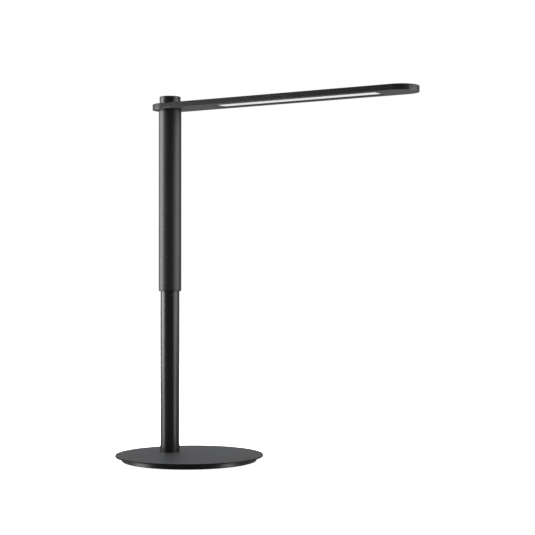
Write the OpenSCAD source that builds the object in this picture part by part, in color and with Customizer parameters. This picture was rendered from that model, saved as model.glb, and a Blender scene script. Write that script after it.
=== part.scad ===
// Desk lamp: a weighted round base, a telescoping stem, a flat arm that swings
// about the stem, a light recessed in the arm's underside and a button in the cap.
// The origin is the middle of the base on the table, +Z is up, +X runs along the arm.

/* [Lamp] */
// Height from the table to the top of the cap, with the stem drawn right out
lamp_h = 480; // [400:1:576]
// Angle from the line between the stem and the base's middle to the arm
arm_turn = 15; // [-60:1:60]

/* [Base] */
// Diameter of the top plate
base_d = 193; // [160:1:232]
// How far the top plate overhangs the weight
base_overhang = 8.5; // [5:0.5:14]
// Thickness of the top plate
plate_t = 2; // [1.8:0.1:3]
// Thickness of the weight
weight_t = 5.8; // [4.8:0.1:9]
// Thickness of the pad
pad_t = 0.8; // [0.6:0.1:2]
// How far the pad's rim lies inside the weight's rim
pad_inset = 3; // [1:0.5:6]
// Distance from the middle of the base to the stem's axis
stem_offset = 40; // [33:1:48]

/* [Stem] */
// Outside diameter of the upper tube
sleeve_d = 30; // [25:0.5:36]
// Wall of the upper tube
sleeve_wall = 1.5; // [1:0.1:2]
// Length of the upper tube
sleeve_len = 238.3; // [198:0.1:286]
// Space between the two tubes, which the guides fill
guide_wall = 1; // [0.8:0.1:1.4]
// Wall of the lower tube
tube_wall = 1.2; // [1:0.1:1.6]
// Length of the guide in the upper tube
lower_guide_len = 30; // [20:1:40]
// Length of the guide on the lower tube
upper_guide_len = 20; // [14:1:30]
// Height of the foot's shoulder above the base
foot_h = 8.5; // [6:0.5:14]

/* [Head] */
// Diameter of the cap
cap_d = 28; // [23:0.5:33]
// Height of the cap above the arm
cap_h = 10.5; // [8.7:0.1:14]
// Wall of the cap
cap_wall = 1.5; // [1.2:0.1:2]
// Length of the plug in the upper tube
plug_h = 16; // [12:1:24]
// Diameter of the pivot bolt
bolt_d = 12; // [10:0.5:13]
// Bore of the pivot bolt
bolt_bore_d = 7.2; // [6.4:0.2:8]
// Gap between the stem and the arm, which the thrust washer fills
swivel_gap = 0.5; // [0.4:0.1:0.8]

/* [Arm] */
// Distance from the stem's axis to the tip of the arm
arm_reach = 362; // [300:1:434]
// Width of the arm
arm_w = 46.5; // [39:0.5:56]
// Thickness of the arm
arm_t = 7.4; // [6.2:0.1:9]
// Side wall of the arm
arm_wall = 1.8; // [1.4:0.1:2.2]
// Top skin of the arm
arm_skin = 1.2; // [1:0.1:1.6]
// Distance from the stem's axis to the window
window_start = 78; // [66:1:94]
// Distance from the window to the tip of the arm
tip_land = 50.5; // [42:0.5:60]
// Thickness of the plate that closes the underside
underplate_t = 1.2; // [0.8:0.1:1.4]
// Width of that plate's frame beside the window
frame_w = 8.9; // [7.5:0.1:10]

/* [Light] */
// Thickness of the diffuser
diffuser_t = 1.5; // [1:0.1:1.8]
// How far the diffuser lies above the underside
recess = 1.45; // [1.3:0.05:1.6]
// Width of the LED board
led_board_w = 26; // [20:1:30]
// LEDs in one row
leds_in_row = 24; // [12:1:30]
// Rows of LEDs
led_rows = 2; // [1:1:3]

/* [Button] */
// Diameter of the button
button_d = 16.8; // [13:0.1:17.6]
// Travel of the button
button_travel = 0.7; // [0.4:0.1:0.8]

/* [Hidden] */
$fn = 96;

// Colours
c_paint = "#2e2f31";
c_gloss = "#1f2022";
c_weight = "#26272a";
c_steel = "#9a9da1";
c_brass = "#b59a5a";
c_plastic = "#1b1c1e";
c_felt = "#3a3a3c";
c_board = "#1f5a3c";
c_white = "#f2f1ec";
c_lead = "#141415";

// Fits: a slip fit between fixed pieces, a running fit round a shaft, an air gap
slip = 0.05;
run_fit = 0.05;
air = 0.3;
eps = 0.01;
edge = 0.4;

// Base
base_r = base_d / 2;
weight_r = base_r - base_overhang;
plate_z = pad_t + weight_t;
base_t = plate_z + plate_t;
pocket_h = 4.2;
roof_z = pad_t + pocket_h;
screw_inset = 22;
screw_count = 3;
screw_r = 1.6;
screw_head_r = 3.2;
screw_bite = 1.4;
board_l = 34;
board_w = 20;
board_t = 1;
board_pocket_gap = 1.5;
lane_w = 5;
lane_y = 9.9;
inlet_l = 9;
inlet_w = 6;
inlet_h = 4.6;
inlet_back = 0.5;
inlet_bore_r = 1.8;
inlet_bore_l = 7.5;
inlet_pin_r = 0.65;
inlet_pin_back = 1.5;
lead_r = 1.1;
lead_z = pad_t + inlet_h / 2 + slip;

// Stem, from the upper tube's top down
sleeve_r = sleeve_d / 2;
sleeve_ir = sleeve_r - sleeve_wall;
tube_r = sleeve_ir - guide_wall;
tube_ir = tube_r - tube_wall;
arm_top = lamp_h - cap_h;
arm_bottom = arm_top - arm_t;
sleeve_top = arm_bottom - swivel_gap;
sleeve_bottom = sleeve_top - sleeve_len;
end_ring_h = 2;
end_ring_inset = 0.25;
brake_h = 4.8;
stop_ring_h = 1.5;
brake_z = sleeve_bottom + lower_guide_len + air;
stop_z = brake_z + brake_h + air;
guide_z = stop_z + stop_ring_h + 2 * slip;
tube_top = guide_z + upper_guide_len;
guide_lip_h = 1.8;
guide_lip_w = 2;
rail_w = 4;
rail_gap = 0.2;
foot_step = 0.4;
spigot_h = 14;
foot_bolt_r = 2.5;
foot_head_r = 4.4;
foot_head_h = 3;
foot_washer_r = 5;
foot_washer_t = 0.8;
foot_bolt_bite = 16;
foot_lead_r = tube_ir - 2.6;
lead_hole_r = 1.7;
recess_r = tube_ir + 0.7;

// Head
plug_z = sleeve_top - plug_h;
bolt_r = bolt_d / 2;
bolt_bore_r = bolt_bore_d / 2;
bush_wall = 2;
bush_flange_r = bolt_r + 3.5;
bush_flange_t = 1.2;
disc_h = 1;
disc_t = 0.5;
disc_gap = 0.1;
nut_washer_t = 1;
nut_h = 5;
nut_r = bolt_r + 3.8;
nut_z = plug_z - bush_flange_t - disc_h - disc_gap - nut_washer_t - nut_h;
bolt_z = nut_z - 1;
hub_r = sleeve_r - 0.5;
stop_circle = (bolt_r + hub_r) / 2;
stop_r = 1;
stop_rise = 2;
stop_sink = 6;
stop_groove_w = 2.4;
stop_groove_h = stop_rise + 0.2;
stop_rib_w = 1.6;
thrust_ir = stop_circle + stop_groove_w / 2 + 0.3;
flange_t = 2;
cap_ir = cap_d / 2 - cap_wall;
flange_r = cap_ir - slip;
lead_hole_x = (bolt_r + flange_r) / 2;
led_lead_r = 0.9;
led_hole_r = 1.3;
drive_r = 1;
drive_sink = 3;
connector_r = 5;
connector_h = 7.4;

// Coiled lead between the foot and the connector under the bolt
coil_r = tube_ir - 3.3;
coil_ir = coil_r - 3;
coil_start = base_t + 111.4;
coil_end = bolt_z - connector_h - 2 * air;

// Arm
arm_r = arm_w / 2;
arm_ir = arm_r - arm_wall;
tip_x = arm_reach - arm_r;
skin_z = arm_top - arm_skin;
window_end = arm_reach - tip_land;
led_board_t = 1;
led_h = 0.7;
led_l = 3.5;
led_w = 2.8;
board_inset = 2;
diffuser_z = arm_bottom + recess;
diffuser_top = diffuser_z + diffuser_t;
diffuser_lap = 3;
window_half = arm_ir - frame_w;
clip_r = 1.5;
clip_boss_r = 3;
clip_boss_h = 3;
clip_side = 6;
clip_back = 12;

// Button and switch, from the cap's top down
cap_top_t = 1.6;
button_r = button_d / 2;
button_dip = 0.3;
button_flange_w = 1.8;
button_flange_t = 0.8;
button_gap = 0.1;
button_z = lamp_h - cap_top_t - button_gap - button_flange_t;
housing_w = 6;
housing_h = 1.2;
housing_top = button_z - button_travel - button_gap;
switch_board_t = 0.8;
switch_board_z = housing_top - housing_h - switch_board_t;
ledge_w = 1;
plunger_r = 1.2;
spring_r = 7;
spring_w = 1.2;
spring_t = 0.25;
spring_waves = 3;

// Places: the base's own axis runs from the stem to the middle of the base
module at_base() rotate([0, 0, -arm_turn]) children();
module at_stem() translate([-stem_offset * cos(arm_turn), stem_offset * sin(arm_turn), 0]) children();
module at_column() at_stem() rotate([0, 0, -arm_turn]) children();

// A round bar and a round pipe between two heights
module bar(r, z0, z1) translate([0, 0, z0]) cylinder(r = r, h = z1 - z0);
module pipe(r, bore_r, z0, z1) {
    difference() {
        bar(r, z0, z1);
        bar(bore_r, z0 - 1, z1 + 1);
    }
}

// A box from one corner to the other
module box(low, high) translate(low) cube(high - low);

// A disc with both rims bevelled
module bevelled_disc(r, z0, z1, bevel) {
    rotate_extrude()
        polygon([[0, z0], [r - bevel, z0], [r, z0 + bevel], [r, z1 - bevel], [r - bevel, z1], [0, z1]]);
}

// The arm's outline, a straight bar with two round ends
module arm_outline(r, z0, z1) {
    bar(r, z0, z1);
    translate([tip_x, 0, 0]) bar(r, z0, z1);
    box([0, -r, z0], [tip_x, r, z1]);
}

// A countersunk screw that points up, with its head's face at z0
module countersunk(z0, z1, r, head_r) {
    rotate_extrude()
        polygon([[0, z0], [head_r, z0], [r, z0 + head_r - r], [r, z1], [0, z1]]);
}

// Leads: a route with its corners rounded, and a tube swept along it
function unit(v) = v / norm(v);
function rounded(route, reach, steps = 4) = concat(
    [route[0]],
    [for (i = [1 : len(route) - 2])
        let (a = route[i] + reach * unit(route[i - 1] - route[i]),
             b = route[i] + reach * unit(route[i + 1] - route[i]))
        for (k = [0 : steps])
            let (u = k / steps) (1 - u) * (1 - u) * a + 2 * u * (1 - u) * route[i] + u * u * b],
    [route[len(route) - 1]]
);
module lead(route, r, across, sides = 10) {
    n = len(route);
    rings = [for (i = [0 : n - 1])
        let (t = unit(route[min(i + 1, n - 1)] - route[max(i - 1, 0)]),
             side = unit(cross(t, across)),
             up = cross(side, t))
        for (k = [0 : sides - 1])
            route[i] + r * (cos(k * 360 / sides) * side + sin(k * 360 / sides) * up)];
    walls = [for (i = [0 : n - 2], k = [0 : sides - 1])
        let (next = (k + 1) % sides)
        [i * sides + k, i * sides + next, (i + 1) * sides + next, (i + 1) * sides + k]];
    first = [for (k = [sides - 1 : -1 : 0]) k];
    last = [for (k = [0 : sides - 1]) (n - 1) * sides + k];
    polyhedron(points = rings, faces = concat([first], walls, [last]));
}

// Base

module screw_places() {
    for (i = [0 : screw_count - 1])
        rotate([0, 0, i * 360 / screw_count]) translate([weight_r - screw_inset, 0, 0]) children();
}

module stem_holes(z0, z1) {
    translate([-stem_offset, 0, 0]) {
        bar(foot_bolt_r + slip, z0, z1);
        translate([foot_lead_r, 0, 0]) bar(lead_hole_r, z0, z1);
    }
}

module base_plate() {
    color(c_paint) at_base() difference() {
        bevelled_disc(base_r, plate_z, base_t, edge);
        stem_holes(plate_z - 1, base_t + 1);
        screw_places() bar(screw_r + slip, plate_z - 1, plate_z + screw_bite + slip);
    }
}

module base_weight() {
    inlet_x = -weight_r + inlet_back + inlet_l;
    low = pad_t - 1;
    color(c_weight) at_base() difference() {
        bevelled_disc(weight_r, pad_t, plate_z, edge);
        stem_holes(low, plate_z + 1);
        translate([-stem_offset, 0, 0]) bar(recess_r, low, roof_z);
        box([-board_l / 2 - board_pocket_gap, -board_w / 2 - board_pocket_gap, low],
            [board_l / 2 + board_pocket_gap, board_w / 2 + board_pocket_gap, roof_z]);
        box([-weight_r - 1, -inlet_w / 2 - slip, low],
            [inlet_x + slip, inlet_w / 2 + slip, pad_t + inlet_h + 2 * slip]);
        box([inlet_x, -inlet_w / 2, low], [inlet_x + lane_w, lane_y + lane_w / 2, roof_z]);
        box([inlet_x, lane_y - lane_w / 2, low], [-board_l / 2, lane_y + lane_w / 2, roof_z]);
        box([-stem_offset, -lane_w / 2, low], [-board_l / 2, lane_w / 2, roof_z]);
        screw_places() countersunk(pad_t - eps, plate_z + 1, screw_r + slip, screw_head_r + slip);
    }
}

module base_pad() {
    color(c_felt) bar(weight_r - pad_inset, 0, pad_t);
}

module base_screws() {
    color(c_steel) at_base() screw_places()
        countersunk(pad_t, plate_z + screw_bite, screw_r, screw_head_r);
}

module driver_board() {
    color(c_board) at_base()
        box([-board_l / 2, -board_w / 2, roof_z - air - board_t],
            [board_l / 2, board_w / 2, roof_z - air]);
}

module driver_parts() {
    face_z = roof_z - air - board_t;
    coil_h = 2.2;
    chip_h = 1.4;
    color(c_plastic) at_base() {
        translate([8, 4, 0]) bar(3.5, face_z - coil_h, face_z);
        translate([8, -5, 0]) bar(2.5, face_z - coil_h, face_z);
        for (x = [-4, 1]) translate([x, 5, 0]) box([-1.5, -2, face_z - chip_h], [1.5, 2, face_z]);
        box([-5, -7, face_z - chip_h], [1, -3, face_z]);
        for (y = [-8, -5, 0]) box([-14, y, face_z - chip_h], [-11, y + 1.5, face_z]);
    }
}

module power_inlet() {
    x0 = -weight_r + inlet_back;
    color(c_plastic) at_base() difference() {
        box([x0, -inlet_w / 2, pad_t + slip], [x0 + inlet_l, inlet_w / 2, pad_t + slip + inlet_h]);
        translate([x0 - eps, 0, lead_z]) rotate([0, 90, 0])
            cylinder(r = inlet_bore_r, h = inlet_bore_l + eps);
    }
}

module inlet_pin() {
    color(c_brass) at_base()
        translate([-weight_r + inlet_back + inlet_pin_back, 0, lead_z]) rotate([0, 90, 0])
            cylinder(r = inlet_pin_r, h = inlet_bore_l - inlet_pin_back);
}

module inlet_lead() {
    x0 = -weight_r + inlet_back + inlet_l;
    route = [
        [x0 + slip, 0, lead_z],
        [x0 + lane_w / 2, 0, lead_z],
        [x0 + lane_w / 2, lane_y, lead_z],
        [-board_l / 2 - slip, lane_y, lead_z]
    ];
    color(c_lead) at_base() lead(rounded(route, lane_w / 2 - 2 * slip), lead_r, [0, 0, 1]);
}

// Foot of the stem

module foot_bolt() {
    head_z = roof_z - foot_washer_t - foot_head_h;
    color(c_steel) at_column() {
        difference() {
            bar(foot_head_r, head_z, head_z + foot_head_h);
            translate([0, 0, head_z - eps]) cylinder(r = foot_bolt_r, h = foot_head_h / 2, $fn = 6);
        }
        bar(foot_bolt_r, head_z + foot_head_h, base_t + foot_bolt_bite);
    }
}

module foot_washer() {
    color(c_steel) at_column()
        pipe(foot_washer_r, foot_bolt_r + slip, roof_z - foot_washer_t, roof_z);
}

module stem_foot() {
    shoulder_r = tube_r + foot_step;
    shoulder_z = base_t + foot_h;
    spigot_r = tube_ir - slip;
    spigot_z = shoulder_z + spigot_h;
    color(c_gloss) at_column() difference() {
        rotate_extrude()
            polygon([[0, base_t], [shoulder_r, base_t], [shoulder_r, shoulder_z - edge],
                [shoulder_r - edge, shoulder_z], [spigot_r, shoulder_z], [spigot_r, spigot_z - edge],
                [spigot_r - edge, spigot_z], [0, spigot_z]]);
        bar(foot_bolt_r + slip, base_t - 1, base_t + foot_bolt_bite + 1);
        translate([foot_lead_r, 0, 0]) bar(lead_hole_r, base_t - 1, spigot_z + 1);
    }
}

module lower_tube() {
    color(c_gloss) at_column() pipe(tube_r, tube_ir, base_t + foot_h, tube_top);
}

module upper_guide() {
    color(c_plastic) at_column() difference() {
        union() {
            pipe(sleeve_ir - run_fit, tube_r + slip, guide_z, tube_top + slip);
            pipe(sleeve_ir - run_fit, tube_ir - guide_lip_w + guide_wall, tube_top + slip,
                tube_top + slip + guide_lip_h);
        }
        box([-sleeve_r, -rail_w / 2 - rail_gap, guide_z - 1],
            [-tube_r + slip, rail_w / 2 + rail_gap, tube_top + slip + guide_lip_h + 1]);
    }
}

module stem_lead() {
    bend_z = lead_z + lead_r;
    route = [
        [-board_l / 2 - slip, 0, lead_z],
        [-stem_offset + foot_lead_r, 0, lead_z],
        [-stem_offset + foot_lead_r, 0, base_t + foot_h + spigot_h + bend_z],
        [-stem_offset + (coil_r + coil_ir) / 2, 0, coil_start - 4 * bend_z],
        [-stem_offset + (coil_r + coil_ir) / 2, 0, coil_start]
    ];
    color(c_lead) at_base() lead(rounded(route, bend_z), lead_r, [0, 1, 0]);
}

// The coil is one pipe of the coiled lead's outer shape
module stem_coil() {
    color(c_lead) at_column() pipe(coil_r, coil_ir, coil_start, coil_end);
}

// Column: what slides with the upper tube

module upper_tube() {
    color(c_paint) at_column() difference() {
        bevelled_disc(sleeve_r, sleeve_bottom, sleeve_top, edge / 2);
        bar(sleeve_ir, sleeve_bottom - 1, sleeve_top + 1);
    }
}

module lower_guide() {
    ring_r = sleeve_r - end_ring_inset;
    ring_z = sleeve_bottom - end_ring_h;
    color(c_plastic) at_column() difference() {
        union() {
            rotate_extrude()
                polygon([[0, ring_z], [ring_r - edge, ring_z], [ring_r, ring_z + edge],
                    [ring_r, sleeve_bottom], [0, sleeve_bottom]]);
            bar(sleeve_ir - slip, sleeve_bottom - eps, sleeve_bottom + lower_guide_len);
        }
        bar(tube_r + run_fit, ring_z - 1, sleeve_bottom + lower_guide_len + 1);
    }
}

module brake_ring() {
    color(c_felt) at_column() pipe(sleeve_ir - slip, tube_r + air, brake_z, brake_z + brake_h);
}

module stop_ring() {
    color(c_steel) at_column() pipe(sleeve_ir - slip, tube_r + 2 * run_fit, stop_z, stop_z + stop_ring_h);
}

module turn_rail() {
    color(c_steel) at_column() intersection() {
        pipe(sleeve_ir - slip, tube_r + air - slip, stop_z + stop_ring_h + slip, plug_z - slip);
        box([-sleeve_r, -rail_w / 2, stop_z], [-tube_r / 2, rail_w / 2, plug_z]);
    }
}

module head_plug() {
    color(c_steel) at_column() difference() {
        bar(sleeve_ir - slip, plug_z, sleeve_top);
        bar(bolt_r + bush_wall + slip, plug_z - 1, sleeve_top + 1);
        translate([-stop_circle, 0, 0]) bar(stop_r + slip, sleeve_top - stop_sink - slip, sleeve_top + 1);
    }
}

module pivot_bush() {
    color(c_plastic) at_column() difference() {
        union() {
            bar(bolt_r + bush_wall, plug_z - eps, sleeve_top - slip);
            bar(bush_flange_r, plug_z - bush_flange_t, plug_z);
        }
        bar(bolt_r + run_fit, plug_z - bush_flange_t - 1, sleeve_top + 1);
    }
}

module stop_pin() {
    color(c_steel) at_column() translate([-stop_circle, 0, 0])
        bar(stop_r, sleeve_top - stop_sink, arm_bottom + stop_rise);
}

module thrust_washer() {
    color(c_plastic) at_column() pipe(hub_r - slip, thrust_ir, sleeve_top, arm_bottom - slip);
}

module disc_spring() {
    top = plug_z - bush_flange_t;
    low = top - disc_h;
    inner = bolt_r + 4 * slip;
    outer = bush_flange_r - 4 * slip;
    color(c_steel) at_column() rotate_extrude()
        polygon([[inner, top - disc_t], [outer, low], [outer, low + disc_t], [inner, top]]);
}

// Arm: what swings with the arm, and its pivot

module clip_places(back) {
    for (side = [-1, 1])
        translate([back, side * (arm_ir - clip_side), 0]) children();
}

module all_clip_places() {
    clip_places(window_start - clip_back) children();
    clip_places(window_end + clip_back) children();
    translate([-(hub_r + arm_ir) / 2, 0, 0]) children();
}

// The groove that the stop pin runs in, open all round but for one rib
module stop_groove() {
    difference() {
        pipe(stop_circle + stop_groove_w / 2, stop_circle - stop_groove_w / 2,
            arm_bottom - 1, arm_bottom + stop_groove_h);
        box([0, -stop_rib_w / 2, arm_bottom - 2], [hub_r, stop_rib_w / 2, arm_bottom + stop_groove_h + 1]);
    }
}

module arm_shell() {
    lane_z = skin_z - 2 * led_hole_r + slip;
    color(c_paint) at_stem() difference() {
        union() {
            difference() {
                arm_outline(arm_r, arm_bottom, arm_top);
                arm_outline(arm_ir, arm_bottom - 1, skin_z);
            }
            bar(hub_r, arm_bottom, skin_z + eps);
            all_clip_places() bar(clip_boss_r, skin_z - clip_boss_h, skin_z + eps);
        }
        bar(bolt_r + slip, arm_bottom - 1, arm_top + 1);
        stop_groove();
        translate([lead_hole_x, 0, 0]) bar(led_hole_r, lane_z, arm_top + 1);
        box([lead_hole_x, -led_hole_r, lane_z], [hub_r + 1, led_hole_r, skin_z]);
        translate([-stop_circle, 0, 0]) bar(drive_r + slip, arm_top - drive_sink, arm_top + 1);
        all_clip_places() bar(clip_r + slip, skin_z - clip_boss_h - 1, skin_z);
    }
}

// The plate under the arm, with a thicker frame round the window that the diffuser lies on
module underplate() {
    top = arm_bottom + underplate_t;
    side = arm_ir - slip;
    frame_start = window_start - diffuser_lap - slip;
    frame_end = window_end + diffuser_lap + slip;
    color(c_paint) at_stem() {
        difference() {
            union() {
                bar(side, arm_bottom, top);
                box([0, -side, arm_bottom], [frame_start, side, top]);
                box([frame_start - eps, -side, arm_bottom], [frame_end + eps, side, diffuser_z - slip]);
                box([frame_end, -side, arm_bottom], [tip_x, side, top]);
                translate([tip_x, 0, 0]) bar(side, arm_bottom, top);
            }
            bar(hub_r + slip, arm_bottom - 1, top + 1);
            box([window_start, -window_half, arm_bottom - 1], [window_end, window_half, diffuser_z]);
        }
        all_clip_places() bar(clip_r, top - eps, skin_z - 2 * slip);
    }
}

module diffuser() {
    side = arm_ir - slip;
    color(c_white) at_stem()
        box([window_start - diffuser_lap, -side, diffuser_z],
            [window_end + diffuser_lap, side, diffuser_top]);
}

module led_board() {
    color(c_white) at_stem()
        box([window_start + board_inset, -led_board_w / 2, skin_z - led_board_t],
            [window_end - board_inset, led_board_w / 2, skin_z]);
}

module leds() {
    run = window_end - window_start - 2 * board_inset;
    pitch = run / leds_in_row;
    lane = led_board_w / led_rows;
    top = skin_z - led_board_t;
    color(c_white) at_stem()
        for (i = [0 : leds_in_row - 1], row = [0 : led_rows - 1])
            translate([window_start + board_inset + (i + 0.5) * pitch,
                (row + 0.5) * lane - led_board_w / 2, 0])
                box([-led_l / 2, -led_w / 2, top - led_h], [led_l / 2, led_w / 2, top]);
}

module led_lead() {
    over_z = arm_top + flange_t + led_lead_r + air;
    under_z = skin_z - led_lead_r - 2 * slip;
    aside = bolt_bore_r / 2;
    route = [
        [0, -aside, bolt_z - slip],
        [0, -aside, over_z],
        [lead_hole_x, 0, over_z],
        [lead_hole_x, 0, under_z],
        [window_start + board_inset - 2 * slip, 0, under_z]
    ];
    color(c_lead) at_stem() lead(rounded(route, led_lead_r), led_lead_r, [0, 1, 0]);
}

module switch_lead() {
    color(c_lead) at_stem() translate([0, bolt_bore_r / 2, 0])
        bar(led_lead_r, bolt_z - slip, switch_board_z);
}

module lead_connector() {
    color(c_plastic) at_stem() {
        bar(connector_r, bolt_z - air - connector_h, bolt_z - air);
    }
}

module pivot_bolt() {
    color(c_steel) at_stem() difference() {
        union() {
            bar(bolt_r, bolt_z, arm_top + eps);
            bar(flange_r, arm_top, arm_top + flange_t);
        }
        bar(bolt_bore_r, bolt_z - 1, arm_top + flange_t + 1);
        translate([lead_hole_x, 0, 0]) bar(led_hole_r, arm_top - 1, arm_top + flange_t + 1);
        translate([-stop_circle, 0, 0]) bar(drive_r + slip, arm_top - 1, arm_top + flange_t + 1);
    }
}

module drive_pin() {
    color(c_steel) at_stem() translate([-stop_circle, 0, 0])
        bar(drive_r, arm_top - drive_sink + slip, arm_top + flange_t);
}

module nut_washer() {
    color(c_steel) at_stem() pipe(bush_flange_r, bolt_r + slip, nut_z + nut_h, nut_z + nut_h + nut_washer_t);
}

module pivot_nut() {
    color(c_steel) at_stem() difference() {
        translate([0, 0, nut_z]) cylinder(r = nut_r, h = nut_h, $fn = 6);
        bar(bolt_r + slip, nut_z - 1, nut_z + nut_h + 1);
    }
}

module cap_shell() {
    ledge_z = switch_board_z + switch_board_t;
    color(c_paint) at_stem() difference() {
        rotate_extrude()
            polygon([[0, arm_top], [cap_d / 2, arm_top], [cap_d / 2, lamp_h - edge],
                [cap_d / 2 - edge, lamp_h], [0, lamp_h]]);
        bar(cap_ir, arm_top - 1, ledge_z);
        bar(cap_ir - ledge_w, ledge_z - 1, lamp_h - cap_top_t);
        bar(button_r + button_gap, lamp_h - cap_top_t - 1, lamp_h + 1);
    }
}

module switch_board() {
    color(c_board) at_stem() bar(cap_ir - slip, switch_board_z, switch_board_z + switch_board_t);
}

module switch_housing() {
    z0 = switch_board_z + switch_board_t;
    color(c_plastic) at_stem() difference() {
        box([-housing_w / 2, -housing_w / 2, z0], [housing_w / 2, housing_w / 2, housing_top]);
        bar(plunger_r + run_fit, z0 - 1, housing_top + 1);
    }
}

// A wave spring: a flat ring that rises and falls round its circle
module button_spring() {
    z0 = switch_board_z + switch_board_t;
    mid = (z0 + button_z) / 2;
    swell = (button_z - z0 - spring_t) / 2 - slip;
    stations = 60;
    rims = [for (i = [0 : stations - 1])
        let (a = i * 360 / stations, z = mid + swell * sin(spring_waves * a))
        for (p = [[spring_r, -1], [spring_r + spring_w, -1], [spring_r + spring_w, 1], [spring_r, 1]])
            [p.x * cos(a), p.x * sin(a), z + p.y * spring_t / 2]];
    walls = [for (i = [0 : stations - 1], k = [0 : 3])
        let (j = (i + 1) % stations, next = (k + 1) % 4)
        [i * 4 + k, i * 4 + next, j * 4 + next, j * 4 + k]];
    color(c_steel) at_stem() polyhedron(points = rims, faces = walls);
}

module power_button() {
    top = lamp_h - button_dip;
    color(c_gloss) at_stem() {
        rotate_extrude()
            polygon([[0, button_z], [button_r + button_flange_w, button_z],
                [button_r + button_flange_w, button_z + button_flange_t],
                [button_r, button_z + button_flange_t], [button_r, top - edge],
                [button_r - edge, top], [0, top]]);
    }
}

module switch_plunger() {
    color(c_white) at_stem() bar(plunger_r, housing_top - 2 * button_gap, button_z);
}

base_plate();
base_weight();
base_pad();
base_screws();
driver_board();
driver_parts();
power_inlet();
inlet_pin();
inlet_lead();
foot_bolt();
foot_washer();
stem_foot();
lower_tube();
upper_guide();
stem_lead();
stem_coil();
upper_tube();
lower_guide();
brake_ring();
stop_ring();
turn_rail();
head_plug();
pivot_bush();
stop_pin();
thrust_washer();
disc_spring();
arm_shell();
underplate();
diffuser();
led_board();
leds();
led_lead();
switch_lead();
lead_connector();
pivot_bolt();
drive_pin();
nut_washer();
pivot_nut();
cap_shell();
switch_board();
switch_housing();
button_spring();
power_button();
switch_plunger();
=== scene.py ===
# Desk lamp: a weighted round base, a telescoping stem and a flat arm with a light in its underside
import math

import bmesh
import bpy
from mathutils import Matrix, Vector


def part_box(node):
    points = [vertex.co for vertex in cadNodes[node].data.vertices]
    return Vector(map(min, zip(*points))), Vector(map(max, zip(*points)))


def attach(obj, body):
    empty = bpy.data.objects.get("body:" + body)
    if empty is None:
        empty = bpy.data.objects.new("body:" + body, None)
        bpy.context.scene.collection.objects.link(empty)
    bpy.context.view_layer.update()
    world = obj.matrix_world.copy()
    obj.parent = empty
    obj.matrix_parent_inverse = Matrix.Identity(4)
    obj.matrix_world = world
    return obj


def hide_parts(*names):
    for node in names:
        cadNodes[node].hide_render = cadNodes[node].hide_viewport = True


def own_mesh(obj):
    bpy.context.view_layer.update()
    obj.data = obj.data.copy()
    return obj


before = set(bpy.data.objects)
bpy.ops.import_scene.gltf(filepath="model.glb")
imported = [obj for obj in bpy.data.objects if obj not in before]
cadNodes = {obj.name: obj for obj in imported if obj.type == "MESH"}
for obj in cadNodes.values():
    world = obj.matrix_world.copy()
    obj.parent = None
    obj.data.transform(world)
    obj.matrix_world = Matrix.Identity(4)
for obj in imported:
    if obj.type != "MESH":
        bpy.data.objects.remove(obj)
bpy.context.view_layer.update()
mm = 0.001
print("frame loaded,", len(cadNodes), "nodes")


def plan(node):
    # middle of a node in plan, in metres, then its radius, bottom and top in millimetres
    low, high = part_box(node)
    centre = Vector(((low.x + high.x) / 2, (low.y + high.y) / 2))
    return centre, (high.y - low.y) / 2 / mm, low.z / mm, high.z / mm


baseAxis = plan("base_plate")[0]
stemAxis = plan("upper_tube")[0]


# Camera

cameraSettings = {
    "place": (1.0145, -1.4643, 0.2357),  # metres
    "turn": 31.43,                       # degrees to the left of +Y
    "tilt": 0.545,                       # degrees above level
    "lens": 91.44,                       # millimetres, as is the sensor's width
    "sensor": 36.0,
    "reach": 60.0,                       # metres, far enough to see the whole floor
}


def makeCamera():
    data = bpy.data.cameras.new("camera")
    data.lens = cameraSettings["lens"]
    data.sensor_width = cameraSettings["sensor"]
    data.clip_end = cameraSettings["reach"]
    data.dof.use_dof = False
    camera = bpy.data.objects.new("camera", data)
    camera.location = cameraSettings["place"]
    camera.rotation_euler = (math.radians(90 + cameraSettings["tilt"]), 0,
                             math.radians(cameraSettings["turn"]))
    bpy.context.collection.objects.link(camera)
    bpy.context.scene.camera = camera


makeCamera()
print("camera placed")


# Mesh tools

meshWork = {
    "over": 1.0,       # millimetres that a cutting tool reaches past what it cuts
    "lap": 0.5,        # millimetres that a joined-on shape sinks into what it joins
    "weld": 1e-7,      # metres below which two corners are one
    "disc": 256,       # steps round the base's discs
    "wide": 128,       # round the arm's hub
    "groove": 96,      # round the groove of the arm's stop
    "bore": 64,        # round the inlet's bore and most drilled holes
    "small": 32,       # round screw holes and bosses
    "tiny": 24,        # round studs
    "bevelFrom": 30,   # degrees between the faces of an edge that is rounded
    "bevelSteps": 3,
    "creaseFrom": 40,  # degrees between faces that don't shade smoothly into each other
    "flatWeight": 70,  # how strongly wide faces hold their normals
}
over, lap = meshWork["over"], meshWork["lap"]


def roundCorners(corners, arcSteps=6):
    # corners are (radius, height, rounding) in millimetres, and an open profile ends on the axis
    points = []
    for i, (radius, height, rounding) in enumerate(corners):
        here = Vector((radius, height))
        if not rounding:
            points.append(here)
            continue
        before = Vector(corners[i - 1][:2])
        after = Vector(corners[(i + 1) % len(corners)][:2])
        start = here + (before - here).normalized() * rounding
        end = here + (after - here).normalized() * rounding
        for step in range(arcSteps + 1):
            u = step / arcSteps
            points.append((1 - u) ** 2 * start + 2 * u * (1 - u) * here + u * u * end)
    return points


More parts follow.
